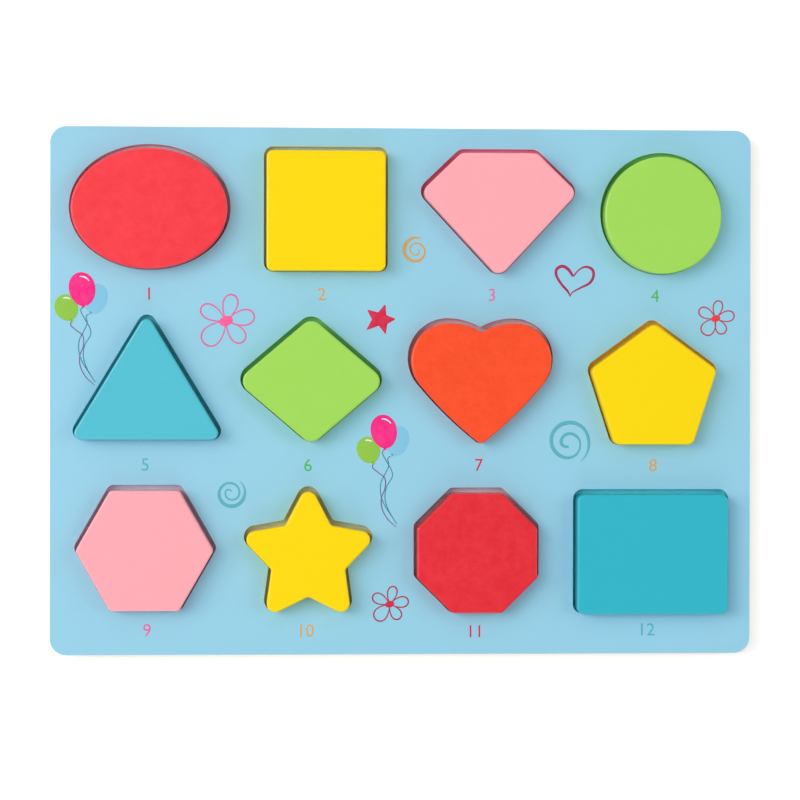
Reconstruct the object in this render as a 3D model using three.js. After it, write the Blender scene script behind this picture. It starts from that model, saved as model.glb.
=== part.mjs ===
// A chunky wooden shape puzzle: a painted frame glued on a thin backing board, with twelve
// recesses that each hold one loose painted block.
// Millimetres, +Z up. The origin is the middle of the board's underside, +X runs along the
// board's long side and +Y towards the edge above the first row of blocks.

import * as THREE from 'three';

// The board
const BACKING_THICKNESS = 3;
const FRAME_THICKNESS = 5;
const BOARD_CORNER_RADIUS = 7;
const TOP_MARGIN = 8.6;
const BOTTOM_MARGIN = 18.1;
const RIGHT_MARGIN = 9.5;
// Wood between two rows of recesses, where the numbers are printed
const LABEL_BAND = 19.2;
// How far a row of recesses falls for each millimetre that it runs to the right
const ROW_FALL = 0.0085;

// Sizes that all blocks share
const BLOCK_HEIGHT = 51.1;
const BLOCK_THICKNESS = 12;
const BLOCK_EDGE_RADIUS = 1;
// Room round a block that sits in the middle of its recess
const CLEARANCE = 1.1;
// The blocks have slid towards -Y, which leaves this much of the clearance below them
const GAP_BELOW_BLOCK = 0.25;

// Widths of the blocks
const OVAL_WIDTH = 66.15;
const SQUARE_WIDTH = 50.6;
const GEM_WIDTH = 64;
const ROUND_DIAMETER = 50.1;
const TRIANGLE_WIDTH = 60.7;
const RHOMBUS_WIDTH = 58.2;
const HEART_WIDTH = 60;
const PENTAGON_WIDTH = 53.1;
const HEXAGON_WIDTH = 57.8;
const STAR_WIDTH = 52.6;
const OCTAGON_WIDTH = 51.3;
const RECTANGLE_WIDTH = 64.8;

// Corner radii of the blocks
const SQUARE_CORNER = 2.8;
const GEM_CORNER = 4.1;
const TRIANGLE_CORNER = 2.9;
const RHOMBUS_CORNER = 5.2;
const PENTAGON_CORNER = 3.2;
const HEXAGON_CORNER = 2.2;
const STAR_TIP = 3.7;
const STAR_NOOK = 1.8;
const OCTAGON_CORNER = 1.7;
const RECTANGLE_CORNER = 3;

// Further sizes of the gem, the star and the heart
const GEM_TABLE = 29;
const GEM_SHOULDER_DEPTH = 17;
const STAR_WAIST_RADIUS = 12.4;
const HEART_LOBE_SPACING = 28;
const HEART_NOTCH_DEPTH = 4;
const HEART_SIDE_RADIUS = 160;
const HEART_TIP_RADIUS = 2.2;

// Wood on the left of each recess, measured where the recess is widest
const WOOD_LEFT_OF_OVAL = 8.1;
const WOOD_LEFT_OF_SQUARE = 14.3;
const WOOD_LEFT_OF_GEM = 14.2;
const WOOD_LEFT_OF_ROUND = 11;
const WOOD_LEFT_OF_TRIANGLE = 9.7;
const WOOD_LEFT_OF_RHOMBUS = 8.2;
const WOOD_LEFT_OF_HEART = 11.1;
const WOOD_LEFT_OF_PENTAGON = 15.2;
const WOOD_LEFT_OF_HEXAGON = 10.5;
const WOOD_LEFT_OF_STAR = 11.9;
const WOOD_LEFT_OF_OCTAGON = 17.8;
const WOOD_LEFT_OF_RECTANGLE = 15;

// How far a chord may stray from the arc that it stands for, and the steps round a block's edge
const CHORD_SAG = 0.05;
const EDGE_STEPS = 2;

// Paint and wood colours
const PALE_BLUE = 0x9fd0e3;
const BARE_WOOD = 0xcdac7d;
const RED = 0xf7424d;
const YELLOW = 0xfddb03;
const PINK = 0xffacb6;
const GREEN = 0xa2dd5b;
const LIGHT_TEAL = 0x52c2d6;
const ORANGE = 0xfd552d;
const CRIMSON = 0xe73441;
const TEAL = 0x30b5c9;

const QUARTER_TURN = Math.PI / 2;

// Points along an arc about a centre, from one angle to another
function arc(centre, radius, from, to) {
  const largestStep = 2 * Math.acos(1 - CHORD_SAG / radius);
  const steps = Math.max(1, Math.ceil(Math.abs(to - from) / largestStep));
  return Array.from({ length: steps + 1 }, (_, step) => {
    const angle = THREE.MathUtils.lerp(from, to, step / steps);
    return new THREE.Vector2(Math.cos(angle), Math.sin(angle)).multiplyScalar(radius).add(centre);
  });
}

// Outline at an even distance outside a counter-clockwise polygon: an arc about each corner
// that points outwards, and a small fillet in each corner that points inwards
function outlineAround(corners, distance, nookRadius) {
  return corners.flatMap((corner, index) => {
    const before = corners.at(index - 1);
    const after = corners[(index + 1) % corners.length];
    const arriving = corner.clone().sub(before).angle();
    const leaving = after.clone().sub(corner).angle();
    const turn = THREE.MathUtils.euclideanModulo(leaving - arriving + Math.PI, 2 * Math.PI) - Math.PI;
    const outward = arriving - QUARTER_TURN;
    if (turn > 0) return arc(corner, distance, outward, outward + turn);
    const fillet = Math.max(nookRadius, CHORD_SAG);
    const reach = (distance + fillet) / Math.cos(turn / 2);
    const bisector = outward + turn / 2;
    const centre = new THREE.Vector2(Math.cos(bisector), Math.sin(bisector)).multiplyScalar(reach);
    return arc(centre.add(corner), fillet, outward + Math.PI, outward + Math.PI + turn);
  });
}

// Corners evenly spaced round a circle, counter-clockwise, with the radii taken in turn
function ring(count, firstAngle, ...radii) {
  return Array.from({ length: count }, (_, index) => {
    const angle = firstAngle + (2 * Math.PI * index) / count;
    const radius = radii[index % radii.length];
    return new THREE.Vector2(radius * Math.cos(angle), radius * Math.sin(angle));
  });
}

// The same corners stretched to fill a width and a height about the origin
function stretched(corners, width, height) {
  const box = new THREE.Box2().setFromPoints(corners);
  const scale = new THREE.Vector2(width, height).divide(box.getSize(new THREE.Vector2()));
  const middle = box.getCenter(new THREE.Vector2());
  return corners.map((corner) => corner.clone().sub(middle).multiply(scale));
}

// A polygon with rounded corners that fills a block's width and height, ready to be grown
function roundedPolygon(corners, width, corner, nook = 0) {
  const fitted = stretched(corners, width - 2 * corner, BLOCK_HEIGHT - 2 * corner);
  return (growth) => outlineAround(fitted, corner + growth, nook - growth);
}

// An ellipse about the origin, or a circle where both sizes are the same
function ellipse(width, height) {
  return (growth) => {
    const halves = new THREE.Vector2(width / 2 + growth, height / 2 + growth);
    const longest = Math.max(halves.x, halves.y);
    const circle = arc(new THREE.Vector2(), longest, 0, 2 * Math.PI).slice(0, -1);
    return circle.map((point) => point.divideScalar(longest).multiply(halves));
  };
}

// A cut diamond seen from the side: a flat table, two shoulders and a point at the bottom
function gem() {
  const halfWidth = GEM_WIDTH / 2 - GEM_CORNER;
  const top = BLOCK_HEIGHT / 2 - GEM_CORNER;
  const shoulder = BLOCK_HEIGHT / 2 - GEM_SHOULDER_DEPTH;
  const corners = [
    new THREE.Vector2(0, -top),
    new THREE.Vector2(halfWidth, shoulder),
    new THREE.Vector2(GEM_TABLE / 2, top),
    new THREE.Vector2(-GEM_TABLE / 2, top),
    new THREE.Vector2(-halfWidth, shoulder),
  ];
  return (growth) => outlineAround(corners, GEM_CORNER + growth, 0);
}

// A star whose width sets how far its tips reach, with the waist set by itself
function star() {
  const reach = (STAR_WIDTH / 2 - STAR_TIP) / Math.sin((2 * Math.PI) / 5);
  const corners = ring(10, QUARTER_TURN, reach, STAR_WAIST_RADIUS);
  return roundedPolygon(corners, STAR_WIDTH, STAR_TIP, STAR_NOOK);
}

// A heart of tangent arcs. Each lobe has a tight outer arc and a flatter inner one that meet at
// the top of the lobe, and a long arc joins the outer one to the small arc of the tip.
function heart() {
  const top = BLOCK_HEIGHT / 2;
  const lobe = HEART_LOBE_SPACING / 2;
  const outerRadius = HEART_WIDTH / 2 - lobe;
  const innerRadius = (lobe ** 2 + HEART_NOTCH_DEPTH ** 2) / (2 * HEART_NOTCH_DEPTH);
  const outerCentre = new THREE.Vector2(lobe, top - outerRadius);
  const innerCentre = new THREE.Vector2(lobe, top - innerRadius);
  const tipCentre = new THREE.Vector2(0, HEART_TIP_RADIUS - top);
  // The side's centre lies at these distances from the lobe's centre and from the tip's
  const fromLobe = HEART_SIDE_RADIUS - outerRadius;
  const fromTip = HEART_SIDE_RADIUS - HEART_TIP_RADIUS;
  const tipToLobe = outerCentre.clone().sub(tipCentre);
  const cosine = (tipToLobe.lengthSq() + fromLobe ** 2 - fromTip ** 2) / (2 * fromLobe * tipToLobe.length());
  const lobeEnd = tipToLobe.angle() - Math.acos(cosine);
  const towardsLobe = new THREE.Vector2(Math.cos(lobeEnd), Math.sin(lobeEnd));
  const sideCentre = outerCentre.clone().addScaledVector(towardsLobe, -fromLobe);
  const tipAway = tipCentre.clone().sub(sideCentre);
  const tipEnd = Math.atan2(tipAway.y, tipAway.x);
  return (growth) => {
    const notch = Math.acos(-lobe / (innerRadius + growth));
    const rightHalf = [
      ...arc(tipCentre, HEART_TIP_RADIUS + growth, -QUARTER_TURN, tipEnd),
      ...arc(sideCentre, HEART_SIDE_RADIUS + growth, tipEnd, lobeEnd).slice(1),
      ...arc(outerCentre, outerRadius + growth, lobeEnd, QUARTER_TURN).slice(1),
      ...arc(innerCentre, innerRadius + growth, QUARTER_TURN, notch).slice(1),
    ];
    const leftHalf = rightHalf.slice(1, -1).reverse();
    return [...rightHalf, ...leftHalf.map((point) => new THREE.Vector2(-point.x, point.y))];
  };
}

const triangleCorners = ring(3, QUARTER_TURN, 1);
const rhombusCorners = ring(4, 0, 1);
const pentagonCorners = ring(5, QUARTER_TURN, 1);
const hexagonCorners = ring(6, 0, 1);
const octagonCorners = ring(8, Math.PI / 8, 1);
const boxCorners = ring(4, Math.PI / 4, 1);

// The blocks of each row from left to right, with the rows from the top down
const rows = [
  [
    { name: 'oval_block', wood: WOOD_LEFT_OF_OVAL, width: OVAL_WIDTH, paint: RED,
      outline: ellipse(OVAL_WIDTH, BLOCK_HEIGHT) },
    { name: 'square_block', wood: WOOD_LEFT_OF_SQUARE, width: SQUARE_WIDTH, paint: YELLOW,
      outline: roundedPolygon(boxCorners, SQUARE_WIDTH, SQUARE_CORNER) },
    { name: 'gem_block', wood: WOOD_LEFT_OF_GEM, width: GEM_WIDTH, paint: PINK,
      outline: gem() },
    { name: 'round_block', wood: WOOD_LEFT_OF_ROUND, width: ROUND_DIAMETER, paint: GREEN,
      outline: ellipse(ROUND_DIAMETER, ROUND_DIAMETER) },
  ],
  [
    { name: 'triangle_block', wood: WOOD_LEFT_OF_TRIANGLE, width: TRIANGLE_WIDTH, paint: LIGHT_TEAL,
      outline: roundedPolygon(triangleCorners, TRIANGLE_WIDTH, TRIANGLE_CORNER) },
    { name: 'rhombus_block', wood: WOOD_LEFT_OF_RHOMBUS, width: RHOMBUS_WIDTH, paint: GREEN,
      outline: roundedPolygon(rhombusCorners, RHOMBUS_WIDTH, RHOMBUS_CORNER) },
    { name: 'heart_block', wood: WOOD_LEFT_OF_HEART, width: HEART_WIDTH, paint: ORANGE,
      outline: heart() },
    { name: 'pentagon_block', wood: WOOD_LEFT_OF_PENTAGON, width: PENTAGON_WIDTH, paint: YELLOW,
      outline: roundedPolygon(pentagonCorners, PENTAGON_WIDTH, PENTAGON_CORNER) },
  ],
  [
    { name: 'hexagon_block', wood: WOOD_LEFT_OF_HEXAGON, width: HEXAGON_WIDTH, paint: PINK,
      outline: roundedPolygon(hexagonCorners, HEXAGON_WIDTH, HEXAGON_CORNER) },
    { name: 'star_block', wood: WOOD_LEFT_OF_STAR, width: STAR_WIDTH, paint: YELLOW,
      outline: star() },
    { name: 'octagon_block', wood: WOOD_LEFT_OF_OCTAGON, width: OCTAGON_WIDTH, paint: CRIMSON,
      outline: roundedPolygon(octagonCorners, OCTAGON_WIDTH, OCTAGON_CORNER) },
    { name: 'rectangle_block', wood: WOOD_LEFT_OF_RECTANGLE, width: RECTANGLE_WIDTH, paint: TEAL,
      outline: roundedPolygon(boxCorners, RECTANGLE_WIDTH, RECTANGLE_CORNER) },
  ],
];

// The widest row and the stack of rows set the size of the board
const recessWidth = (block) => block.width + 2 * CLEARANCE;
const recessHeight = BLOCK_HEIGHT + 2 * CLEARANCE;
const rowLength = (row) => row.reduce((length, block) => length + block.wood + recessWidth(block), 0);
const boardWidth = Math.max(...rows.map(rowLength)) + RIGHT_MARGIN;
const rowPitch = recessHeight + LABEL_BAND;
const boardHeight = TOP_MARGIN + (rows.length - 1) * rowPitch + recessHeight + BOTTOM_MARGIN;

// Recess centres, counted along each row from the board's left edge. The rows run slightly
// downhill, so the margins and bands are those on the board's middle line.
rows.forEach((row, rowIndex) => {
  const middleY = boardHeight / 2 - TOP_MARGIN - recessHeight / 2 - rowIndex * rowPitch;
  let edge = -boardWidth / 2;
  for (const block of row) {
    const x = edge + block.wood + recessWidth(block) / 2;
    block.recess = new THREE.Vector2(x, middleY - ROW_FALL * x);
    edge += block.wood + recessWidth(block);
  }
});
const blocks = rows.flat();

function paint(colour) {
  return new THREE.MeshStandardMaterial({ color: colour, roughness: 0.55, metalness: 0 });
}

function boardShape() {
  const inset = new THREE.Vector2(boardWidth, boardHeight).subScalar(2 * BOARD_CORNER_RADIUS);
  const corners = stretched(boxCorners, inset.x, inset.y);
  return new THREE.Shape(outlineAround(corners, BOARD_CORNER_RADIUS, 0));
}

function backingBoard() {
  const sheet = new THREE.ExtrudeGeometry(boardShape(), { depth: BACKING_THICKNESS, bevelEnabled: false });
  const mesh = new THREE.Mesh(sheet, paint(BARE_WOOD));
  mesh.name = 'backing_board';
  return mesh;
}

function topFrame() {
  const shape = boardShape();
  shape.holes = blocks.map(({ outline, recess }) => {
    return new THREE.Path(outline(CLEARANCE).map((point) => point.add(recess)));
  });
  const sheet = new THREE.ExtrudeGeometry(shape, { depth: FRAME_THICKNESS, bevelEnabled: false });
  const mesh = new THREE.Mesh(sheet, paint(PALE_BLUE));
  mesh.name = 'top_frame';
  mesh.position.z = BACKING_THICKNESS;
  return mesh;
}

// A block with rounded edges, resting on the backing board low in its recess
function shapeBlock({ name, outline, recess, paint: colour }) {
  const solid = new THREE.ExtrudeGeometry(new THREE.Shape(outline(0)), {
    depth: BLOCK_THICKNESS - 2 * BLOCK_EDGE_RADIUS,
    bevelThickness: BLOCK_EDGE_RADIUS,
    bevelSize: BLOCK_EDGE_RADIUS,
    bevelOffset: -BLOCK_EDGE_RADIUS,
    bevelSegments: EDGE_STEPS,
  });
  solid.translate(0, 0, BLOCK_EDGE_RADIUS);
  const mesh = new THREE.Mesh(solid, paint(colour));
  mesh.name = name;
  mesh.position.set(recess.x, recess.y - (CLEARANCE - GAP_BELOW_BLOCK), BACKING_THICKNESS);
  return mesh;
}

const puzzle = new THREE.Group();
puzzle.add(backingBoard(), topFrame(), ...blocks.map(shapeBlock));

export default puzzle;
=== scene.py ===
import bpy
import numpy as np
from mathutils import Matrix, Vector
from mathutils.geometry import delaunay_2d_cdt


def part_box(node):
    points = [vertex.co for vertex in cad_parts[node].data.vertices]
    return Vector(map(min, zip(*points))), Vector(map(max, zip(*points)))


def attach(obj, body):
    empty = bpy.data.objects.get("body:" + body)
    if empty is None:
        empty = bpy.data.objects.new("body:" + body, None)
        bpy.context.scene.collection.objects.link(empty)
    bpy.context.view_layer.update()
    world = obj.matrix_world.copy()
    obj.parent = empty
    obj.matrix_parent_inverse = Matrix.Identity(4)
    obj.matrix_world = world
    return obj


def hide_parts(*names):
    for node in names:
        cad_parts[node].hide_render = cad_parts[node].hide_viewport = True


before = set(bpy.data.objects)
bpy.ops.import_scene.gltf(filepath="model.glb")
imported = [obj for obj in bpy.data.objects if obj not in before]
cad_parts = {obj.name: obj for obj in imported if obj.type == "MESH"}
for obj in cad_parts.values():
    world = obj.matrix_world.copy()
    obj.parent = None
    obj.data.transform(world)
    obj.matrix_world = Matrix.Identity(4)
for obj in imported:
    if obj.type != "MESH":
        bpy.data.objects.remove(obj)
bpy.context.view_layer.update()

# A chunky wooden shape puzzle: a painted frame on a thin backing board, with twelve loose blocks.
# Shapes are worked out in millimetres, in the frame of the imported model: +X along the board's
# long side, +Y towards the edge above the first row of blocks, +Z up from the board's underside.
MM = 0.001

# The board
BOARD_CORNER = 7
CLEARANCE = 1.1
# The blocks lie this much lower than the middles of their recesses
BLOCK_DROP = 1.0
FRAME_RIM = 0.3
SHEET_EDGE = 0.2

# The blocks: the rounding of their edges and of their corners
BLOCK_EDGE = 0.8
SQUARE_CORNER = 2.8
GEM_CORNER = 4.1
TRIANGLE_CORNER = 2.9
RHOMBUS_CORNER = 5.2
PENTAGON_CORNER = 3.2
HEXAGON_CORNER = 2.2
STAR_TIP = 3.7
STAR_NOOK = 1.8
OCTAGON_CORNER = 1.7
RECTANGLE_CORNER = 3
GEM_TABLE = 29
GEM_SHOULDER_DEPTH = 17
STAR_WAIST = 12.4
STAR_WIDTH = 52.6
HEART_LOBE_SPACING = 28
HEART_NOTCH_DEPTH = 4
HEART_SIDE = 160
HEART_TIP = 2.2
HEART_NOOK = 1.2
SMALLEST_NOOK = 0.45

# Fineness of the surfaces
CORNER_STEPS = 16
EDGE_STEPS = 6
ARC_STEP = np.radians(2)
OVAL_STEPS = 180

# Print on the frame's face. The sink and the shoulder are shares of the ink's height.
INK_HEIGHT = 0.03
INK_SINK = 0.3
BLOT_SHOULDER = 0.6
BLOT_TOP_SCALE = 0.985
SECTION_POINTS = 8
LINE_STEPS = 10
SHINE_WIDTH = 0.6
SHINE_SCALE = 0.375
SHINE_STEPS = 24
TAPER_END = 0.2
TAPER_POWER = 0.35
WIDE_LINE = 0.64
FINE_LINE = 0.55
PETAL_OPENING = 0.12
PETAL_STEPS = 61
PETAL_PEAK = 0.77
CENTRE_STEPS = 48
CENTRE_TILT = 18
BALLOON_STEPS = 72
BALLOON_SWELL = 1 / 18
INK_LAYER = 1.5 * INK_HEIGHT
NUMBER_SIZE = 7.6
NUMBER_FINENESS = 6

# Finishes
PAINT_SPECULAR = 0.06
PAINT_GLOSS = 0.7
PAINT_BUMP = 0.012
FACE_SPECULAR = 0.5
RECESS_MOTTLE = 0.04
WOOD_SPECULAR = 0.25
WOOD_BUMP = 0.03
INK_SPECULAR = 0.2
COAT_ROUGHNESS = 0.14


# Outlines


def unit(angle):
    """Unit vectors at the given angles: cosine and sine."""
    return np.stack([np.cos(angle), np.sin(angle)], axis=-1)


def turned(points, degrees):
    """Points turned counter-clockwise about the origin."""
    across, up = unit(np.radians(degrees))
    return points @ np.array([[across, up], [-up, across]])


def ring_corners(count, first, *radii):
    """Corners evenly spaced round a circle, counter-clockwise, with the radii taken in turn."""
    index = np.arange(count)
    angle = np.radians(first) + 2 * np.pi * index / count
    return np.asarray(radii, float)[index % len(radii), None] * unit(angle)


def stretched(corners, size):
    """The same corners scaled along each axis to fill a size about the origin."""
    low = corners.min(axis=0)
    high = corners.max(axis=0)
    return (corners - (low + high) / 2) * (size / (high - low))


def rounded_outline(corners, distance, nook=SMALLEST_NOOK):
    """Outline at an even distance outside a counter-clockwise polygon, with outward normals.

    Round a corner that points outwards it is corner + distance * n, where n turns from the normal
    of one side to that of the next. In a corner that points inwards it is centre - nook * n, a
    fillet whose centre lies on the corner's bisector.
    """
    sides = np.roll(corners, -1, axis=0) - corners
    leaving = np.arctan2(sides[:, 1], sides[:, 0])
    arriving = np.roll(leaving, 1)
    turn = (leaving - arriving + np.pi) % (2 * np.pi) - np.pi
    facing = arriving - np.pi / 2
    outward = unit(facing[:, None] + turn[:, None] * np.linspace(0, 1, CORNER_STEPS + 1))
    reach = (distance + nook) / np.cos(turn / 2)
    nook_centre = corners + reach[:, None] * unit(facing + turn / 2)
    rounded = corners[:, None] + distance * outward
    hollow = nook_centre[:, None] - nook * outward
    points = np.where(turn[:, None, None] < 0, hollow, rounded)
    return points.reshape(-1, 2), outward.reshape(-1, 2)


def cornered(corners, corner, nook=0):
    """A block's outline: a polygon with rounded corners that fills its size, grown evenly."""
    def outline(size, growth):
        skeleton = stretched(corners, size - 2 * corner)
        return rounded_outline(skeleton, corner + growth, max(nook - growth, SMALLEST_NOOK))
    return outline


def oval_outline(size, growth):
    """An ellipse: half the size times cosine and sine, with the normal across the two halves."""
    angle = np.linspace(0, 2 * np.pi, OVAL_STEPS, endpoint=False)
    halves = size / 2 + growth
    normals = unit(angle) / halves
    return halves * unit(angle), normals / np.linalg.norm(normals, axis=1, keepdims=True)


def gem_outline(size, growth):
    """A cut diamond seen from the side: a flat table, two shoulders and a point at the bottom."""
    side, top = size / 2 - GEM_CORNER
    shoulder = size[1] / 2 - GEM_SHOULDER_DEPTH
    table = GEM_TABLE / 2
    corners = np.array([(0, -top), (side, shoulder), (table, top), (-table, top), (-side, shoulder)])
    return rounded_outline(corners, GEM_CORNER + growth)


def arc(centre, radius, start, stop):
    """An arc about a centre with its outward normals. A negative radius makes it a hollow."""
    steps = max(2, int(np.ceil(abs(stop - start) / ARC_STEP)))
    outward = unit(np.linspace(start, stop, steps + 1))
    return centre + radius * outward, outward


def heart_outline(size, growth):
    """A heart of tangent arcs, worked out for the right half and mirrored.

    A small arc at the tip runs into a long one up the side, then into the lobe's tight outer arc
    and its flatter inner one, and a little hollow eases the notch.
    """
    top = size[1] / 2
    lobe = HEART_LOBE_SPACING / 2
    outer = size[0] / 2 - lobe
    inner = (lobe ** 2 + HEART_NOTCH_DEPTH ** 2) / (2 * HEART_NOTCH_DEPTH)
    outer_centre = np.array([lobe, top - outer])
    inner_centre = np.array([lobe, top - inner])
    tip_centre = np.array([0, HEART_TIP - top])
    from_lobe = HEART_SIDE - outer
    from_tip = HEART_SIDE - HEART_TIP
    reach = outer_centre - tip_centre
    span = np.linalg.norm(reach)
    opening = np.arccos((span ** 2 + from_lobe ** 2 - from_tip ** 2) / (2 * from_lobe * span))
    lobe_end = np.arctan2(reach[1], reach[0]) - opening
    side_centre = outer_centre - from_lobe * unit(lobe_end)
    tip_end = np.arctan2(*(tip_centre - side_centre)[::-1])
    nook = max(HEART_NOOK - growth, SMALLEST_NOOK)
    rise = np.sqrt((inner + growth + nook) ** 2 - lobe ** 2)
    nook_centre = np.array([0, inner_centre[1] + rise])
    notch = np.arctan2(rise, -lobe)
    quarter = np.pi / 2
    parts = [
        arc(tip_centre, HEART_TIP + growth, -quarter, tip_end),
        arc(side_centre, HEART_SIDE + growth, tip_end, lobe_end),
        arc(outer_centre, outer + growth, lobe_end, quarter),
        arc(inner_centre, inner + growth, quarter, notch),
        arc(nook_centre, -nook, notch, quarter),
    ]
    # Each arc begins where the last one ended, so that point is taken once
    points = np.concatenate([part[0][:-1] for part in parts] + [parts[-1][0][-1:]])
    normals = np.concatenate([part[1][:-1] for part in parts] + [parts[-1][1][-1:]])
    mirror = np.array([-1, 1])
    points = np.concatenate([points, points[-2:0:-1] * mirror])
    normals = np.concatenate([normals, normals[-2:0:-1] * mirror])
    return points, normals


# Surfaces: points, normals and faces


def edge_profile(low, high, low_ease, high_ease):
    """A side wall from its lowest row to its highest: inset, height and tilt of the normal.

    A quarter circle eases the edge at each end, and the wall between them is straight.
    """
    quarter = np.linspace(0, np.pi / 2, EDGE_STEPS + 1)
    inset = np.concatenate([low_ease * (1 - np.sin(quarter)), high_ease * (1 - np.cos(quarter))])
    height = np.concatenate([
        low + low_ease * (1 - np.cos(quarter)),
        high - high_ease * (1 - np.sin(quarter)),
    ])
    tilt = np.concatenate([quarter - np.pi / 2, quarter])
    return inset, height, tilt


def carried(points, outward, profile):
    """A wall: the profile carried round an outline. Each row is points - inset * outward."""
    inset, height, tilt = (values[:, None] for values in profile)
    flat = points - inset[..., None] * outward
    level = np.broadcast_to(height[..., None], flat.shape[:2] + (1,))
    lean = np.broadcast_to(np.sin(tilt)[..., None], level.shape)
    normals = np.concatenate([np.cos(tilt)[..., None] * outward, lean], axis=2)
    return np.concatenate([flat, level], axis=2), normals


def strip_faces(rows, columns, first=0):
    """Four-sided faces between the rows of a grid whose columns close into a ring."""
    index = first + np.arange(rows * columns).reshape(rows, columns)
    after = np.roll(index, -1, axis=1)
    return np.stack([index[:-1], after[:-1], after[1:], index[1:]], axis=2).reshape(-1, 4)


def fan_faces(ring, middle):
    """Triangles from a ring of points to one point in its middle."""
    return np.stack([ring, np.roll(ring, -1), np.full_like(ring, middle)], axis=1)


def capped(points, normals=None):
    """A closed solid: rows of points round an axis, with a fan over the first and the last row."""
    rows, columns = points.shape[:2]
    last = rows * columns
    ends = points[[0, -1]].mean(axis=1)
    first_fan = fan_faces(np.arange(columns)[::-1], last)
    last_fan = fan_faces(np.arange(last - columns, last), last + 1)
    if normals is not None:
        facing = np.array([[0, 0, -1], [0, 0, 1]])
        normals = np.concatenate([normals.reshape(-1, 3), facing])
    return (
        np.concatenate([points.reshape(-1, 3), ends]),
        normals,
        [strip_faces(rows, columns), first_fan, last_fan],
    )


def filled_sheet(loops):
    """Triangles that fill a flat sheet between its rim, the first loop, and the holes in it.

    The rim runs counter-clockwise and the holes clockwise, so the holes are handed over backwards.
    """
    sizes = [len(loop) for loop in loops]
    starts = np.cumsum([0] + sizes)
    outlines = [list(range(start, start + size)) for start, size in zip(starts, sizes)]
    outlines[1:] = [outline[::-1] for outline in outlines[1:]]
    flat = np.concatenate(loops)
    found = delaunay_2d_cdt(flat.tolist(), [], outlines, 1, 1e-7)
    sheet = [triangle for triangle, owners in zip(found[2], found[5]) if owners == [0]]
    source = np.array([origin[0] for origin in found[3]])
    triangles = source[np.array(sheet)]
    a, b, c = (flat[triangles[:, corner]] for corner in range(3))
    area = (b - a)[:, 0] * (c - a)[:, 1] - (b - a)[:, 1] * (c - a)[:, 0]
    triangles[area < 0] = triangles[area < 0][:, ::-1]
    return triangles


def pierced_sheet(rim, holes, low, high):
    """A flat sheet with eased edges, between its rim and its holes.

    The walls are carried round each outline, the holes' ones the other way round so that they
    face into the holes, and triangles fill the sheet between the outlines at both faces.
    """
    loops = [rim] + [(points[::-1], -outward[::-1]) for points, outward in holes]
    profile = edge_profile(low, high, SHEET_EDGE, FRAME_RIM)
    walls = [carried(*loop, profile) for loop in loops]
    rows = len(profile[0])
    counts = [wall[0].shape[1] for wall in walls]
    firsts = np.cumsum([0] + [rows * count for count in counts])
    sides = [strip_faces(rows, count, first) for count, first in zip(counts, firsts)]
    flats = []
    for row in (0, rows - 1):
        ring = np.concatenate([
            first + row * count + np.arange(count) for count, first in zip(counts, firsts)
        ])
        triangles = filled_sheet([wall[0][row, :, :2] for wall in walls])
        flats.append(ring[triangles if row else triangles[:, ::-1]])
    points = np.concatenate([wall[0].reshape(-1, 3) for wall in walls])
    normals = np.concatenate([wall[1].reshape(-1, 3) for wall in walls])
    # The eased rows at the top of all the walls make one part, the rim, which takes a pale painted
    # highlight
    cut = [side.reshape(rows - 1, -1, 4)[:EDGE_STEPS + 1].reshape(-1, 4) for side in sides]
    eased = [side.reshape(rows - 1, -1, 4)[EDGE_STEPS + 1:].reshape(-1, 4) for side in sides]
    return points, normals, [*cut, np.concatenate(eased), *flats]


def floored_sheet(rim, patches, low, high):
    """A flat sheet with eased edges whose upper face is divided along closed outlines.

    Triangles fill the face round the outlines, and a fan fills each outline.
    """
    wall, lean = carried(*rim, edge_profile(low, high, SHEET_EDGE, SHEET_EDGE))
    rows, columns = wall.shape[:2]
    starts = rows * columns + np.cumsum([0] + [len(patch) for patch in patches])
    rings = [np.arange(start, stop) for start, stop in zip(starts, starts[1:])]
    middles = starts[-1] + np.arange(len(patches))
    flat = np.concatenate([*patches, [patch.mean(axis=0) for patch in patches]])
    upper = np.column_stack([flat, np.full(len(flat), high)])
    lowest = np.array([[0, 0, low]])
    around = np.concatenate([starts[0] - columns + np.arange(columns)] + [ring[::-1] for ring in rings])
    triangles = filled_sheet([wall[-1, :, :2]] + [patch[::-1] for patch in patches])
    upward = np.tile([0.0, 0.0, 1.0], (len(upper), 1))
    underside = fan_faces(np.arange(columns)[::-1], starts[-1] + len(patches))
    fans = [fan_faces(ring, middle) for ring, middle in zip(rings, middles)]
    return (
        np.concatenate([wall.reshape(-1, 3), upper, lowest]),
        np.concatenate([lean.reshape(-1, 3), upward, [[0, 0, -1]]]),
        [strip_faces(rows, columns), underside, around[triangles], *fans],
    )


def across_path(points):
    """Unit vectors across an open path, a quarter turn to the left of its direction."""
    along = np.gradient(points, axis=0)
    along = along / np.linalg.norm(along, axis=1, keepdims=True)
    return np.stack([-along[:, 1], along[:, 0]], axis=1)


def stroke(path, width, level):
    """A pen stroke of ink: a low arched section carried along an open path.

    Across the path a section point lies at width / 2 * cosine, and above the level at a low
    sine. The ends close in fans to the middles of the first and last section.
    """
    turn = np.linspace(0, 2 * np.pi, SECTION_POINTS, endpoint=False)
    across = across_path(path)[:, None] * (width[:, None] / 2 * np.cos(turn))[..., None]
    flat = path[:, None] + across
    height = np.broadcast_to(level + INK_HEIGHT * np.maximum(np.sin(turn), -INK_SINK), flat.shape[:2])
    return capped(np.concatenate([flat, height[..., None]], axis=2))


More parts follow.
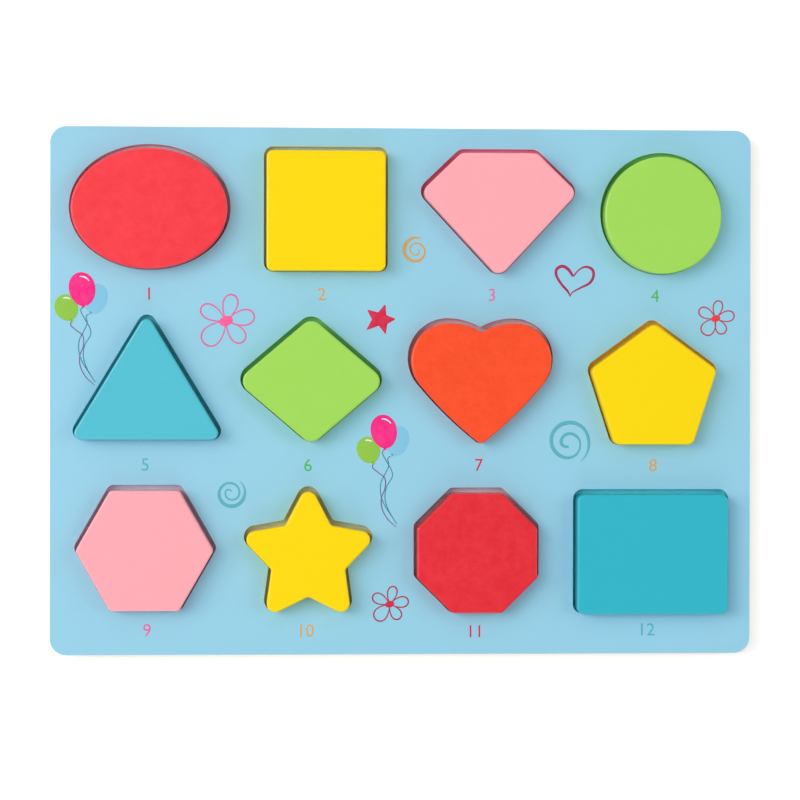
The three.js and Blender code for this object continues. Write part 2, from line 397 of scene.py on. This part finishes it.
def blot(outline, level):
    """A filled patch of ink: an outline drawn in a little as it rises, closed by fans."""
    drawn_in = np.array([1, 1, BLOT_TOP_SCALE])[:, None, None]
    height = level + INK_HEIGHT * np.array([-INK_SINK, BLOT_SHOULDER, 1])[:, None, None]
    middle = outline.mean(axis=0)
    flat = middle + (outline - middle) * drawn_in
    return capped(np.concatenate([flat, np.broadcast_to(height, flat.shape[:2] + (1,))], axis=2))


def make_piece(name, surfaces, body, nodes=()):
    """An object that rides a body, with its place in its mesh.

    The surfaces come as pairs with a material, or with one material for each of their parts. Where
    all of them bring normals, these shade the mesh.
    """
    offset = 0
    corners = []
    sizes = []
    slots = []
    materials = []
    for (points, _, faces), finish in surfaces:
        finishes = finish if isinstance(finish, list) else [finish] * len(faces)
        for part, material in zip(faces, finishes):
            if material not in materials:
                materials.append(material)
            corners.append((part + offset).ravel())
            sizes.append(np.full(len(part), part.shape[1]))
            slots.append(np.full(len(part), materials.index(material)))
        offset += len(points)
    points = np.concatenate([surface[0] for surface, _ in surfaces]) * MM
    corners = np.concatenate(corners)
    sizes = np.concatenate(sizes)
    mesh = bpy.data.meshes.new(name)
    mesh.vertices.add(len(points))
    mesh.vertices.foreach_set("co", points.ravel().astype(np.float32))
    mesh.loops.add(len(corners))
    mesh.loops.foreach_set("vertex_index", corners.astype(np.int32))
    mesh.polygons.add(len(sizes))
    starts = np.concatenate([[0], np.cumsum(sizes)[:-1]])
    mesh.polygons.foreach_set("loop_start", starts.astype(np.int32))
    for material in materials:
        mesh.materials.append(material)
    mesh.polygons.foreach_set("material_index", np.concatenate(slots).astype(np.int32))
    mesh.update(calc_edges=True)
    mesh.validate()
    mesh.shade_smooth()
    if all(surface[1] is not None for surface, _ in surfaces):
        normals = np.concatenate([surface[1] for surface, _ in surfaces])
        mesh.normals_split_custom_set_from_vertices(normals.tolist())
    piece = bpy.data.objects.new(name, mesh)
    bpy.context.scene.collection.objects.link(piece)
    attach(piece, body)
    if nodes:
        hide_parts(*nodes)


# Materials


def linear(red, green, blue):
    """A colour from screen values of 0 to 255, in the renderer's linear light."""
    value = np.array([red, green, blue]) / 255
    low = value / 12.92
    high = ((value + 0.055) / 1.055) ** 2.4
    return (*np.where(value <= 0.04045, low, high).tolist(), 1)


def add_node(tree, kind, links=None, **settings):
    """A node with its settings, and with links or plain values on its inputs."""
    node = tree.nodes.new(kind)
    for name, value in settings.items():
        setattr(node, name, value)
    for name, source in (links or {}).items():
        if isinstance(source, bpy.types.NodeSocket):
            tree.links.new(source, node.inputs[name])
        else:
            node.inputs[name].default_value = source
    return node


def noise(tree, vector, scale, detail, roughness=0.5):
    """A noise of 0 to 1 whose patches measure about one over the scale, in metres."""
    links = {"Vector": vector, "Scale": scale, "Detail": detail, "Roughness": roughness}
    return add_node(tree, "ShaderNodeTexNoise", links).outputs["Fac"]


def drawn_out(tree, vector, x, y, z):
    """The same place with each axis scaled by its own number, which draws a pattern out."""
    links = {"Vector": vector, "Scale": (x, y, z)}
    return add_node(tree, "ShaderNodeMapping", links).outputs["Vector"]


def math(tree, operation, *values):
    """One step of arithmetic."""
    return add_node(tree, "ShaderNodeMath", dict(enumerate(values)), operation=operation).outputs[0]


def ramped(tree, value, low, high, start, stop):
    """A value taken from one range to another, held at the ends."""
    links = {"Value": value, "From Min": low, "From Max": high, "To Min": start, "To Max": stop}
    return add_node(tree, "ShaderNodeMapRange", links).outputs["Result"]


def blended(tree, factor, first, second):
    """Two colours mixed by a factor."""
    node = add_node(tree, "ShaderNodeMix", data_type="RGBA")
    # A mix node keeps its colour sockets after those for numbers and vectors
    for socket, source in zip((node.inputs[0], node.inputs[6], node.inputs[7]), (factor, first, second)):
        if isinstance(source, bpy.types.NodeSocket):
            tree.links.new(source, socket)
        else:
            socket.default_value = source
    return node.outputs[2]


def shaded(tree, colour, brightness):
    """A colour made lighter or darker by a factor."""
    links = {0: colour, "Scale": brightness}
    return add_node(tree, "ShaderNodeVectorMath", links, operation="SCALE").outputs["Vector"]


def new_group(name, inputs, outputs):
    """A shader node group with named sockets, and its input and output nodes."""
    group = bpy.data.node_groups.new(name, "ShaderNodeTree")
    for label, kind in inputs.items():
        group.interface.new_socket(label, in_out="INPUT", socket_type=kind)
    for label, kind in outputs.items():
        group.interface.new_socket(label, in_out="OUTPUT", socket_type=kind)
    entry = group.nodes.new("NodeGroupInput").outputs
    leave = group.nodes.new("NodeGroupOutput").inputs
    return group, entry, leave


def make_paint_coat():
    """Paint rolled on wood: clouds of tone, whitened blotches that are partly chalky paint and partly
    painted patchy sheen, faint streaks and fine specks.
    """
    group, entry, leave = new_group(
        "paint_coat",
        {"Vector": "NodeSocketVector", "Paint": "NodeSocketColor", "Mottle": "NodeSocketFloat"},
        {"Colour": "NodeSocketColor", "Roughness": "NodeSocketFloat", "Height": "NodeSocketFloat"},
    )
    clouds = noise(group, entry["Vector"], scale=34, detail=3)
    blotches = noise(group, entry["Vector"], scale=240, detail=4, roughness=0.65)
    along_grain = drawn_out(group, entry["Vector"], 110, 800, 800)
    streaks = noise(group, along_grain, scale=1, detail=3, roughness=0.6)
    specks = noise(group, entry["Vector"], scale=900, detail=2, roughness=0.6)
    broad = math(group, "MULTIPLY_ADD", blotches, 0.9, math(group, "MULTIPLY", clouds, 0.6))
    tone = math(group, "MULTIPLY_ADD", streaks, 0.4, math(group, "MULTIPLY_ADD", specks, 0.6, broad))
    # Half the sum of the four weights comes off, so that the tone sways about the plain colour
    sway = math(group, "SUBTRACT", tone, 1.25)
    brightness = math(group, "MULTIPLY_ADD", sway, entry["Mottle"], 1)
    # Blotches mixed a little towards white: partly chalky paint, partly a painted patchy sheen
    chalk_and_sheen = math(group, "MULTIPLY", ramped(group, blotches, 0.35, 0.7, 0, 0.08), entry["Mottle"])
    body = shaded(group, entry["Paint"], brightness)
    group.links.new(blended(group, chalk_and_sheen, body, (1, 1, 1, 1)), leave["Colour"])
    group.links.new(ramped(group, streaks, 0.3, 0.7, 0.38, 0.5), leave["Roughness"])
    group.links.new(math(group, "MULTIPLY_ADD", streaks, 0.6, specks), leave["Height"])
    return group


def make_wood_grain():
    """Bare sawn wood: long wavering bands, fine pores drawn out along the grain."""
    group, entry, leave = new_group(
        "wood_grain",
        {"Vector": "NodeSocketVector", "Light": "NodeSocketColor", "Dark": "NodeSocketColor"},
        {"Colour": "NodeSocketColor", "Roughness": "NodeSocketFloat", "Height": "NodeSocketFloat"},
    )
    long_bands = drawn_out(group, entry["Vector"], 7, 90, 90)
    bands = noise(group, long_bands, scale=1, detail=4, roughness=0.55)
    short_pores = drawn_out(group, entry["Vector"], 120, 1900, 1900)
    pores = noise(group, short_pores, scale=1, detail=2, roughness=0.6)
    depth = math(group, "MULTIPLY_ADD", pores, 0.35, ramped(group, bands, 0.3, 0.7, 0, 0.65))
    group.links.new(blended(group, depth, entry["Light"], entry["Dark"]), leave["Colour"])
    group.links.new(ramped(group, pores, 0.3, 0.7, 0.55, 0.75), leave["Roughness"])
    group.links.new(pores, leave["Height"])
    return group


def make_ink_film():
    """Screen-printed ink: thin and a little uneven, so that the paint below shows faintly."""
    group, entry, leave = new_group(
        "ink_film",
        {"Vector": "NodeSocketVector", "Ink": "NodeSocketColor", "Ground": "NodeSocketColor"},
        {"Colour": "NodeSocketColor", "Roughness": "NodeSocketFloat"},
    )
    patches = noise(group, entry["Vector"], scale=420, detail=3, roughness=0.6)
    thin = ramped(group, patches, 0.4, 0.8, 0, 0.07)
    group.links.new(blended(group, thin, entry["Ink"], entry["Ground"]), leave["Colour"])
    group.links.new(ramped(group, patches, 0.3, 0.7, 0.42, 0.6), leave["Roughness"])
    return group


paint_coat = make_paint_coat()
wood_grain = make_wood_grain()
ink_film = make_ink_film()


def new_material(name, group, values, specular, bump=None, gloss=0):
    """A material under a clear coat. Its group gives colour, roughness and a height for the bump."""
    material = bpy.data.materials.new(name)
    material.use_nodes = True
    tree = material.node_tree
    shader = tree.nodes["Principled BSDF"]
    shader.inputs["Specular IOR Level"].default_value = specular
    shader.inputs["Coat Weight"].default_value = gloss
    shader.inputs["Coat Roughness"].default_value = COAT_ROUGHNESS
    place = add_node(tree, "ShaderNodeTexCoord").outputs["Object"]
    effect = add_node(tree, "ShaderNodeGroup", node_tree=group)
    tree.links.new(place, effect.inputs["Vector"])
    for label, value in values.items():
        effect.inputs[label].default_value = value
    tree.links.new(effect.outputs["Colour"], shader.inputs["Base Color"])
    tree.links.new(effect.outputs["Roughness"], shader.inputs["Roughness"])
    if bump:
        links = {"Height": effect.outputs["Height"], "Distance": bump * MM, "Strength": 1.0}
        relief = add_node(tree, "ShaderNodeBump", links)
        tree.links.new(relief.outputs["Normal"], shader.inputs["Normal"])
    return material


def paint(name, colour, mottle, specular=PAINT_SPECULAR, gloss=PAINT_GLOSS):
    """Satin paint on a wooden piece."""
    values = {"Paint": linear(*colour), "Mottle": mottle}
    return new_material(name, paint_coat, values, specular, PAINT_BUMP, gloss)


def wood(name, light, dark):
    """Bare wood with the grain along the board."""
    values = {"Light": linear(*light), "Dark": linear(*dark)}
    return new_material(name, wood_grain, values, WOOD_SPECULAR, WOOD_BUMP)


PALE_BLUE = (148, 208, 233)


def ink(name, colour):
    """Ink printed on the frame's pale blue face."""
    values = {"Ink": linear(*colour), "Ground": linear(*PALE_BLUE)}
    return new_material(name, ink_film, values, INK_SPECULAR)


paints = {
    "pale_blue_paint": paint("pale_blue_paint", PALE_BLUE, 0.03, FACE_SPECULAR, 0),
    "red_paint": paint("red_paint", (247, 57, 69), 0.16),
    "yellow_paint": paint("yellow_paint", (253, 219, 0), 0.025, gloss=0.4),
    "pink_paint": paint("pink_paint", (255, 172, 182), 0.03),
    "green_paint": paint("green_paint", (162, 221, 91), 0.035),
    "light_teal_paint": paint("light_teal_paint", (82, 194, 214), 0.035),
    "orange_paint": paint("orange_paint", (251, 78, 33), 0.14),
    "crimson_paint": paint("crimson_paint", (230, 38, 51), 0.17),
    "teal_paint": paint("teal_paint", (47, 183, 204), 0.035),
}
bare_wood = wood("bare_wood", (231, 205, 166), (206, 172, 126))
cut_edge = wood("cut_edge", (236, 214, 180), (212, 180, 138))
# The eased rims of the frame take a pale blue paint that is a painted highlight. It also lightens the
# shade along the gaps round the blocks.
rim_highlight_paint = paint("rim_highlight_paint", (172, 222, 250), 0.06, gloss=0)


# The board


def node_box(node):
    """A node's middle in plan, its size in plan, and its lowest and highest level."""
    low, high = (np.array(corner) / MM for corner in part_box(node))
    return (low + high)[:2] / 2, (high - low)[:2], low[2], high[2]


box_corners = ring_corners(4, 45, 1)
star_reach = (STAR_WIDTH / 2 - STAR_TIP) / np.sin(2 * np.pi / 5)
star_corners = ring_corners(10, 90, star_reach, STAR_WAIST)
# Each block's outline, its paint (also on the walls of its recess) and the paint on its recess floor
BLOCKS = {
    "oval": (oval_outline, "red_paint", (218, 234, 252)),
    "square": (cornered(box_corners, SQUARE_CORNER), "yellow_paint", (200, 236, 236)),
    "gem": (gem_outline, "pink_paint", (255, 156, 196)),
    "round": (oval_outline, "green_paint", (150, 222, 132)),
    "triangle": (cornered(ring_corners(3, 90, 1), TRIANGLE_CORNER), "light_teal_paint", (120, 236, 242)),
    "rhombus": (cornered(ring_corners(4, 0, 1), RHOMBUS_CORNER), "green_paint", (160, 232, 160)),
    "heart": (heart_outline, "orange_paint", (218, 234, 252)),
    "pentagon": (cornered(ring_corners(5, 90, 1), PENTAGON_CORNER), "yellow_paint", (255, 222, 96)),
    "hexagon": (cornered(ring_corners(6, 0, 1), HEXAGON_CORNER), "pink_paint", (206, 234, 254)),
    "star": (cornered(star_corners, STAR_TIP, STAR_NOOK), "yellow_paint", (206, 236, 230)),
    "octagon": (cornered(ring_corners(8, 22.5, 1), OCTAGON_CORNER), "crimson_paint", (218, 234, 252)),
    "rectangle": (cornered(box_corners, RECTANGLE_CORNER), "teal_paint", (100, 245, 255)),
}

board_outline = cornered(box_corners, BOARD_CORNER)
holes = []
floors = []
recess_walls = []
for shape, (outline, finish, floor_colour) in BLOCKS.items():
    middle, size, low, high = node_box(f"{shape}_block")
    points, outward = outline(size, 0)
    block = capped(*carried(points + middle, outward, edge_profile(low, high, BLOCK_EDGE, BLOCK_EDGE)))
    make_piece(f"{shape}_block_painted", [(block, paints[finish])], shape, [f"{shape}_block"])
    points, outward = outline(size, CLEARANCE)
    holes.append((points + middle + (0, BLOCK_DROP), outward))
    floors.append(paint(f"{shape}_floor", floor_colour, RECESS_MOTTLE, gloss=0))
    recess_walls.append(paints[finish])

_, board_size, frame_low, FACE = node_box("top_frame")
frame_sheet = pierced_sheet(board_outline(board_size, 0), holes, frame_low, FACE)
face_paint = paints["pale_blue_paint"]
make_piece(
    "top_frame_painted",
    [(frame_sheet, [cut_edge, *recess_walls, rim_highlight_paint, bare_wood, face_paint])],
    "board", ["top_frame"],
)

_, board_size, backing_low, backing_high = node_box("backing_board")
patches = [points + SHEET_EDGE * outward for points, outward in holes]
backing_sheet = floored_sheet(board_outline(board_size, 0), patches, backing_low, backing_high)
make_piece(
    "backing_board_dressed",
    [(backing_sheet, [cut_edge, bare_wood, bare_wood, *floors])],
    "board", ["backing_board"],
)


# Print on the frame's face


def tapered(count, width):
    """Widths along a stroke: full in the middle, thinning towards both ends."""
    ease = np.sin(np.pi * np.linspace(0, 1, count)) ** TAPER_POWER
    return width * (TAPER_END + (1 - TAPER_END) * ease)


def drawn_line(points):
    """A smooth line through given points.

    Between two of them it is the cubic whose slope at each is half the step from the point before
    it to the one after.
    """
    points = np.array(points, float)
    behind = np.concatenate([2 * points[:1] - points[1:2], points[:-1]])
    ahead = np.concatenate([points[1:], 2 * points[-1:] - points[-2:-1]])
    slope = (ahead - behind)[:, None] / 2
    leaving, arriving = slope[:-1], slope[1:]
    start = points[:-1, None]
    step = points[1:, None] - start
    part = np.linspace(0, 1, LINE_STEPS, endpoint=False)[:, None]
    bend = 3 * step - 2 * leaving - arriving
    twist = leaving + arriving - 2 * step
    line = start + part * (leaving + part * (bend + part * twist))
    return np.concatenate([line.reshape(-1, points.shape[1]), points[-1:]])


def pen_line(middle, points, level):
    """Ink along a smooth line. Its points, counted from a middle: across, up and the pen's width."""
    line = drawn_line(points)
    return stroke(middle + line[:, :2], line[:, 2], level)


def spiral(middle, start, stop, radii, widths):
    """A coil: its radius and the pen's width pass smoothly through values set at even turns."""
    values = drawn_line(np.column_stack([radii, widths]))
    angle = np.radians(np.linspace(start, stop, len(values)))
    return stroke(middle + values[:, :1] * unit(angle), values[:, 1], FACE)


def flower(middle, petals, line, centre_size, line_ink, centre_ink):
    """Loops round a filled centre, each with its direction, reach and width.

    Along a petal: half its reach * (1 - cosine). Across it: half its width * sine * sine of half
    the angle, over the largest value of that product. The pen presses harder at the petal's end.
    """
    turn = np.linspace(PETAL_OPENING, 2 * np.pi - PETAL_OPENING, PETAL_STEPS)
    pen = line * (0.8 + 0.4 * np.sin(turn / 2) ** 2)
    surfaces = []
    for direction, reach, width in petals:
        along = reach / 2 * (1 - np.cos(turn))
        across = width / 2 * np.sin(turn) * np.sin(turn / 2) / PETAL_PEAK
        loop = turned(np.stack([along, across], axis=1), direction) + middle
        surfaces.append((stroke(loop, pen, FACE), line_ink))
    angle = np.linspace(0, 2 * np.pi, CENTRE_STEPS, endpoint=False)
    centre = turned(unit(angle) * np.array(centre_size) / 2, CENTRE_TILT) + middle
    surfaces.append((blot(centre, FACE + INK_HEIGHT), centre_ink))
    return surfaces


crimson_ink = ink("crimson_ink", (214, 32, 70))
red_ink = ink("red_ink", (236, 62, 60))
brick_ink = ink("brick_ink", (186, 62, 84))
wine_ink = ink("wine_ink", (172, 42, 84))
rose_ink = ink("rose_ink", (252, 96, 156))
orchid_ink = ink("orchid_ink", (230, 107, 167))
magenta_ink = ink("magenta_ink", (248, 36, 134))
orange_ink = ink("orange_ink", (220, 166, 86))
teal_ink = ink("teal_ink", (88, 179, 198))
string_ink = ink("string_ink", (50, 126, 146))
green_ink = ink("green_ink", (84, 184, 92))
lime_ink = ink("lime_ink", (144, 198, 66))
sky_ink = ink("sky_ink", (131, 198, 230))
plum_ink = ink("plum_ink", (130, 64, 138))
white_ink = ink("white_ink", (250, 252, 253))


def place(x, y):
    """A place on the board's face."""
    return np.array([x, y], float)


# The flowers' petals: direction in degrees, reach and width
ROSE_PETALS = ((76, 11.5, 6.2), (151, 12.0, 6.2), (226, 13.3, 8.2), (310, 11.4, 6.4), (11, 12.2, 6.6))
RED_PETALS = ((79, 7.7, 4.0), (152, 8.0, 4.4), (232, 8.4, 5.8), (299, 7.3, 4.5), (11, 8.1, 4.5))
CRIMSON_PETALS = ((77, 7.7, 4.0), (153, 8.0, 4.4), (228, 8.8, 5.6), (304, 7.5, 4.4), (10, 8.1, 4.5))
rose_flower = flower(place(-75.3, 29.9), ROSE_PETALS, WIDE_LINE, (6.0, 4.2), orchid_ink, rose_ink)
make_piece("rose_flower", rose_flower, "board")
red_flower = flower(place(134.9, 31.6), RED_PETALS, FINE_LINE, (4.1, 2.9), brick_ink, red_ink)
make_piece("red_flower", red_flower, "board")
crimson_flower = flower(place(-5.3, -91.0), CRIMSON_PETALS, FINE_LINE, (4.0, 2.8), wine_ink, crimson_ink)
make_piece("crimson_flower", crimson_flower, "board")

# A star drawn by hand: the reach of its tips and nooks in turn
STAR_RADII = (6.2, 2.8, 6.5, 3.4, 7.1, 2.5, 6.2, 3.2, 5.9, 2.7)
drawn_star = rounded_outline(ring_corners(10, 73, *STAR_RADII), 0.3, 0.6)[0] + place(-9.4, 30.8)
make_piece("crimson_star", [(blot(drawn_star, FACE), crimson_ink)], "board")

# The two lines of a heart, counted from its middle: across, up and the pen's width
HEART_LEFT = (
    (-0.5, 2.3, 1.0), (-2.6, 5.3, 1.35), (-5.2, 6.6, 1.4), (-7.6, 5.2, 1.3),
    (-7.6, 2.4, 1.15), (-5.4, -1.2, 1.1), (-2.9, -4.0, 1.0), (-1.6, -6.4, 0.45),
)
HEART_RIGHT = (
    (-0.45, 2.25, 0.7), (2.2, 5.2, 0.65), (5.1, 6.4, 0.95), (7.8, 5.2, 1.2),
    (8.3, 2.4, 1.2), (6.6, -0.6, 1.1), (2.6, -2.7, 0.85), (-0.6, -4.5, 0.6), (-1.6, -6.0, 0.45),
)
heart_middle = place(73.7, 47.2)
heart_lines = [(pen_line(heart_middle, points, FACE), wine_ink) for points in (HEART_LEFT, HEART_RIGHT)]
make_piece("heart_drawing", heart_lines, "board")

orange_coil = spiral(
    place(5.2, 60.6), 58, 730,
    (5.6, 4.9, 4.5, 4.7, 4.9, 4.6, 3.5, 2.7, 2.2, 1.9, 2.1, 2.4, 1.1),
    (0.3, 1.2, 1.5, 1.3, 1.2, 0.9, 0.75, 0.65, 0.6, 0.6, 0.6, 0.6, 0.4),
)
make_piece("orange_spiral", [(orange_coil, orange_ink)], "board")
teal_coil = spiral(
    place(72.0, -21.1), -62, 618,
    (9.9, 8.2, 7.9, 7.9, 8.1, 7.8, 7.0, 4.9, 3.5, 3.1, 3.4, 3.8, 2.4),
    (0.3, 1.2, 1.3, 1.7, 1.4, 1.5, 1.1, 0.8, 1.1, 1.2, 1.2, 1.4, 0.9),
)
make_piece("teal_spiral", [(teal_coil, teal_ink)], "board")
small_teal_coil = spiral(
    place(-73.0, -43.7), 54, -640,
    (6.4, 5.7, 5.4, 5.3, 5.1, 4.6, 3.8, 3.2, 2.6, 2.5, 2.4, 0.9),
    (0.3, 1.2, 1.5, 1.3, 1.1, 0.95, 0.85, 0.8, 0.75, 0.7, 0.7, 0.5),
)
make_piece("small_teal_spiral", [(small_teal_coil, teal_ink)], "board")


def balloon(middle, size, tilt, level):
    """A balloon, fuller above its middle than below.

    Across it: half the width * sine * (1 + swell * cosine). Up it: half the height * cosine.
    """
    angle = np.linspace(0, 2 * np.pi, BALLOON_STEPS, endpoint=False)
    across = -size[0] / 2 * np.sin(angle) * (1 + np.cos(angle) * BALLOON_SWELL)
    up = size[1] / 2 * np.cos(angle)
    return blot(turned(np.stack([across, up], axis=1), tilt) + middle, level)


def shine(middle, size, tilt, start, stop, level):
    """A short curved stroke inside a balloon's rim."""
    angle = np.radians(np.linspace(start, stop, SHINE_STEPS))
    path = turned(unit(angle) * np.array(size) * SHINE_SCALE, tilt) + middle
    return stroke(path, tapered(SHINE_STEPS, SHINE_WIDTH), level)


def knot(middle, tilt, level):
    """The little flared end under a balloon."""
    corners = np.array([(-0.5, -0.2), (0.5, -0.2), (0, 0.6)])
    return blot(rounded_outline(turned(corners, tilt), 0.2)[0] + middle, level)


# The strings of a bunch, counted from the middle of its pink balloon: across, up and the pen's width
PINK_STRING = (
    (0.3, -7.6, 0.4), (-0.6, -9.2, 0.4), (1.2, -12.8, 0.4), (3.3, -16.6, 0.4), (3.5, -19.6, 0.4),
    (1.2, -23.6, 0.4), (0.5, -28.2, 0.4), (1.9, -33.4, 0.4), (5.6, -39.5, 0.25),
)
SKY_STRING = (
    (3.3, -10.2, 0.4), (1.7, -11.6, 0.4), (2.1, -14.5, 0.4), (0.6, -18.0, 0.4), (-1.2, -21.8, 0.4),
    (-1.3, -26.8, 0.4), (0.5, -31.7, 0.4), (5.5, -39.4, 0.25),
)
GREEN_STRING = (
    (-4.4, -13.7, 0.4), (-4.8, -15.4, 0.4), (-2.4, -17.5, 0.4), (0.4, -20.0, 0.4), (0.5, -24.2, 0.4),
    (-1.0, -28.4, 0.4), (-0.7, -33.0, 0.4), (1.6, -37.3, 0.4), (5.3, -40.8, 0.25),
)


def balloon_bunch(name, middle):
    """Three balloons on wavy strings that come together at the bottom, printed in four layers."""
    sky_level, green_level, pink_level, top_level = FACE + INK_LAYER * np.arange(4)
    pink = middle
    green = middle + place(-6.6, -7.9)
    sky = middle + place(5.8, -4.1)
    pink_knot = middle + place(0.4, -7.5)
    green_knot = middle + place(-4.5, -13.6)
    sky_knot = middle + place(3.4, -10.3)
    make_piece(name, [
        (pen_line(middle, PINK_STRING, sky_level), string_ink),
        (pen_line(middle, SKY_STRING, sky_level), string_ink),
        (pen_line(middle, GREEN_STRING, green_level), plum_ink),
        (balloon(sky, (9.6, 13), -15, sky_level), sky_ink),
        (knot(sky_knot, -15, sky_level), sky_ink),
        (balloon(green, (9.8, 11.5), 20, green_level), lime_ink),
        (knot(green_knot, 20, green_level), lime_ink),
        (shine(green, (9.8, 11.5), 20, 90, 42, pink_level), white_ink),
        (balloon(pink, (11.2, 14.5), 10, pink_level), magenta_ink),
        (knot(pink_knot, 5, pink_level), magenta_ink),
        (shine(pink, (11.2, 14.5), 10, 92, 32, top_level), white_ink),
    ], "board")


balloon_bunch("left_balloons", place(-136.3, 43.2))
balloon_bunch("middle_balloons", place(-7.9, -17.2))


def printed_number(number, middle, colour):
    """A number set in Blender's own typeface, made a mesh and laid on the frame's face."""
    name = f"number_{number}"
    letters = bpy.data.curves.new(name, "FONT")
    letters.body = str(number)
    letters.align_x = "CENTER"
    letters.align_y = "CENTER"
    letters.size = NUMBER_SIZE
    letters.extrude = INK_HEIGHT
    letters.resolution_u = NUMBER_FINENESS
    text = bpy.data.objects.new(name, letters)
    bpy.context.scene.collection.objects.link(text)
    mesh = bpy.data.meshes.new_from_object(text.evaluated_get(bpy.context.evaluated_depsgraph_get()))
    bpy.data.objects.remove(text)
    bpy.data.curves.remove(letters)
    points = np.empty(len(mesh.vertices) * 3, np.float32)
    mesh.vertices.foreach_get("co", points)
    points = points.reshape(-1, 3)
    points -= (points.min(axis=0) + points.max(axis=0)) / 2
    points += (*middle, FACE)
    mesh.vertices.foreach_set("co", (points * MM).ravel())
    mesh.update()
    mesh.name = name
    mesh.materials.clear()
    mesh.materials.append(colour)
    piece = bpy.data.objects.new(name, mesh)
    bpy.context.scene.collection.objects.link(piece)
    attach(piece, "board")


# The places and inks of the numbers, from 1 on
NUMBERS = [
    ((-108.0, 41.4), crimson_ink),
    ((-34.5, 41.5), orange_ink),
    ((38.3, 41.4), orchid_ink),
    ((108.6, 41.2), green_ink),
    ((-109.6, -31.3), teal_ink),
    ((-40.3, -31.5), green_ink),
    ((32.9, -31.5), crimson_ink),
    ((107.9, -31.5), orange_ink),
    ((-108.7, -101.8), orchid_ink),
    ((-40.6, -102.2), orange_ink),
    ((31.3, -102.7), crimson_ink),
    ((105.8, -102.1), teal_ink),
]
for number, (middle, colour) in enumerate(NUMBERS, 1):
    printed_number(number, middle, colour)


# Floor, light and camera, in metres and degrees

FLOOR_HALF = 20.0
FLOOR_LEVEL = -0.0002
FLOOR_WHITE = 0.85
FLOOR_ROUGHNESS = 0.9
FLOOR_GLOW = 0.35
WORLD_LEVEL = 0.33
SKY_TINT = (0.92, 0.99, 1.0)
WARM_TINT = (1.0, 0.87, 0.8)
WHITE_TINT = (1.0, 1.0, 1.0)
SENSOR_WIDTH = 36
LENS = 115.92
CAMERA_PLACE = (-0.05822, 0.00316, 1.108)
CAMERA_TURN = (-0.361, -2.975, 0.108)


def seen(tree):
    """1 for a ray that shows its target: straight from the camera, or by mirror or glass."""
    path = add_node(tree, "ShaderNodeLightPath").outputs
    shown = math(tree, "MAXIMUM", path["Is Camera Ray"], path["Is Glossy Ray"])
    return math(tree, "MAXIMUM", shown, path["Is Transmission Ray"])


def studio_floor():
    """A white floor that takes the object's shadow, with a little glow of its own for the camera."""
    material = bpy.data.materials.new("white_floor")
    material.use_nodes = True
    tree = material.node_tree
    shader = tree.nodes["Principled BSDF"]
    shader.inputs["Base Color"].default_value = (FLOOR_WHITE, FLOOR_WHITE, FLOOR_WHITE, 1)
    shader.inputs["Roughness"].default_value = FLOOR_ROUGHNESS
    shader.inputs["Specular IOR Level"].default_value = 0
    glow = add_node(tree, "ShaderNodeEmission", {"Strength": FLOOR_GLOW})
    dark = add_node(tree, "ShaderNodeEmission", {"Strength": 0.0})
    links = {0: seen(tree), 1: dark.outputs[0], 2: glow.outputs[0]}
    choice = add_node(tree, "ShaderNodeMixShader", links)
    total = add_node(tree, "ShaderNodeAddShader", {0: shader.outputs[0], 1: choice.outputs[0]})
    tree.links.new(total.outputs[0], tree.nodes["Material Output"].inputs["Surface"])
    mesh = bpy.data.meshes.new("studio_floor")
    half = FLOOR_HALF
    level = FLOOR_LEVEL
    mesh.from_pydata(
        [(-half, -half, level), (half, -half, level), (half, half, level), (-half, half, level)],
        [], [(0, 1, 2, 3)],
    )
    mesh.materials.append(material)
    ground = bpy.data.objects.new("studio_floor", mesh)
    bpy.context.scene.collection.objects.link(ground)


def studio_world():
    """Dim, even light from all round, very slightly blue."""
    world = bpy.data.worlds.new("studio")
    world.use_nodes = True
    bpy.context.scene.world = world
    tree = world.node_tree
    background = tree.nodes["Background"]
    background.inputs["Color"].default_value = (*SKY_TINT, 1)
    background.inputs["Strength"].default_value = WORLD_LEVEL


def area_lamp(name, location, size, power, tint):
    """A soft square lamp that faces the middle of the board."""
    light = bpy.data.lights.new(name, "AREA")
    light.shape = "SQUARE"
    light.size = size
    light.energy = power
    light.color = tint
    lamp = bpy.data.objects.new(name, light)
    bpy.context.scene.collection.objects.link(lamp)
    lamp.location = location
    lamp.rotation_euler = (-Vector(location)).to_track_quat("-Z", "Y").to_euler()


studio_floor()
studio_world()
area_lamp("key_lamp", (-3.03, 1.05, 2.7), size=2.2, power=79, tint=WARM_TINT)
area_lamp("top_panel", (-0.78, 0.12, 1.7), size=0.8, power=6.3, tint=WHITE_TINT)
area_lamp("back_panel", (-0.2, 2.4, 2.2), size=1.6, power=9.4, tint=WHITE_TINT)
area_lamp("left_fill", (-3.2, -0.2, 1.0), size=1.4, power=15, tint=WHITE_TINT)
area_lamp("right_fill", (2.6, 0.2, 2.0), size=1.8, power=24.5, tint=WHITE_TINT)
area_lamp("front_fill", (0.2, -2.8, 1.5), size=1.8, power=18, tint=WHITE_TINT)

camera = bpy.data.cameras.new("camera")
camera.sensor_width = SENSOR_WIDTH
camera.lens = LENS
viewer = bpy.data.objects.new("camera", camera)
bpy.context.scene.collection.objects.link(viewer)
viewer.location = CAMERA_PLACE
viewer.rotation_euler = np.radians(CAMERA_TURN)
bpy.context.scene.camera = viewer
bpy.context.scene.view_settings.view_transform = "Standard"
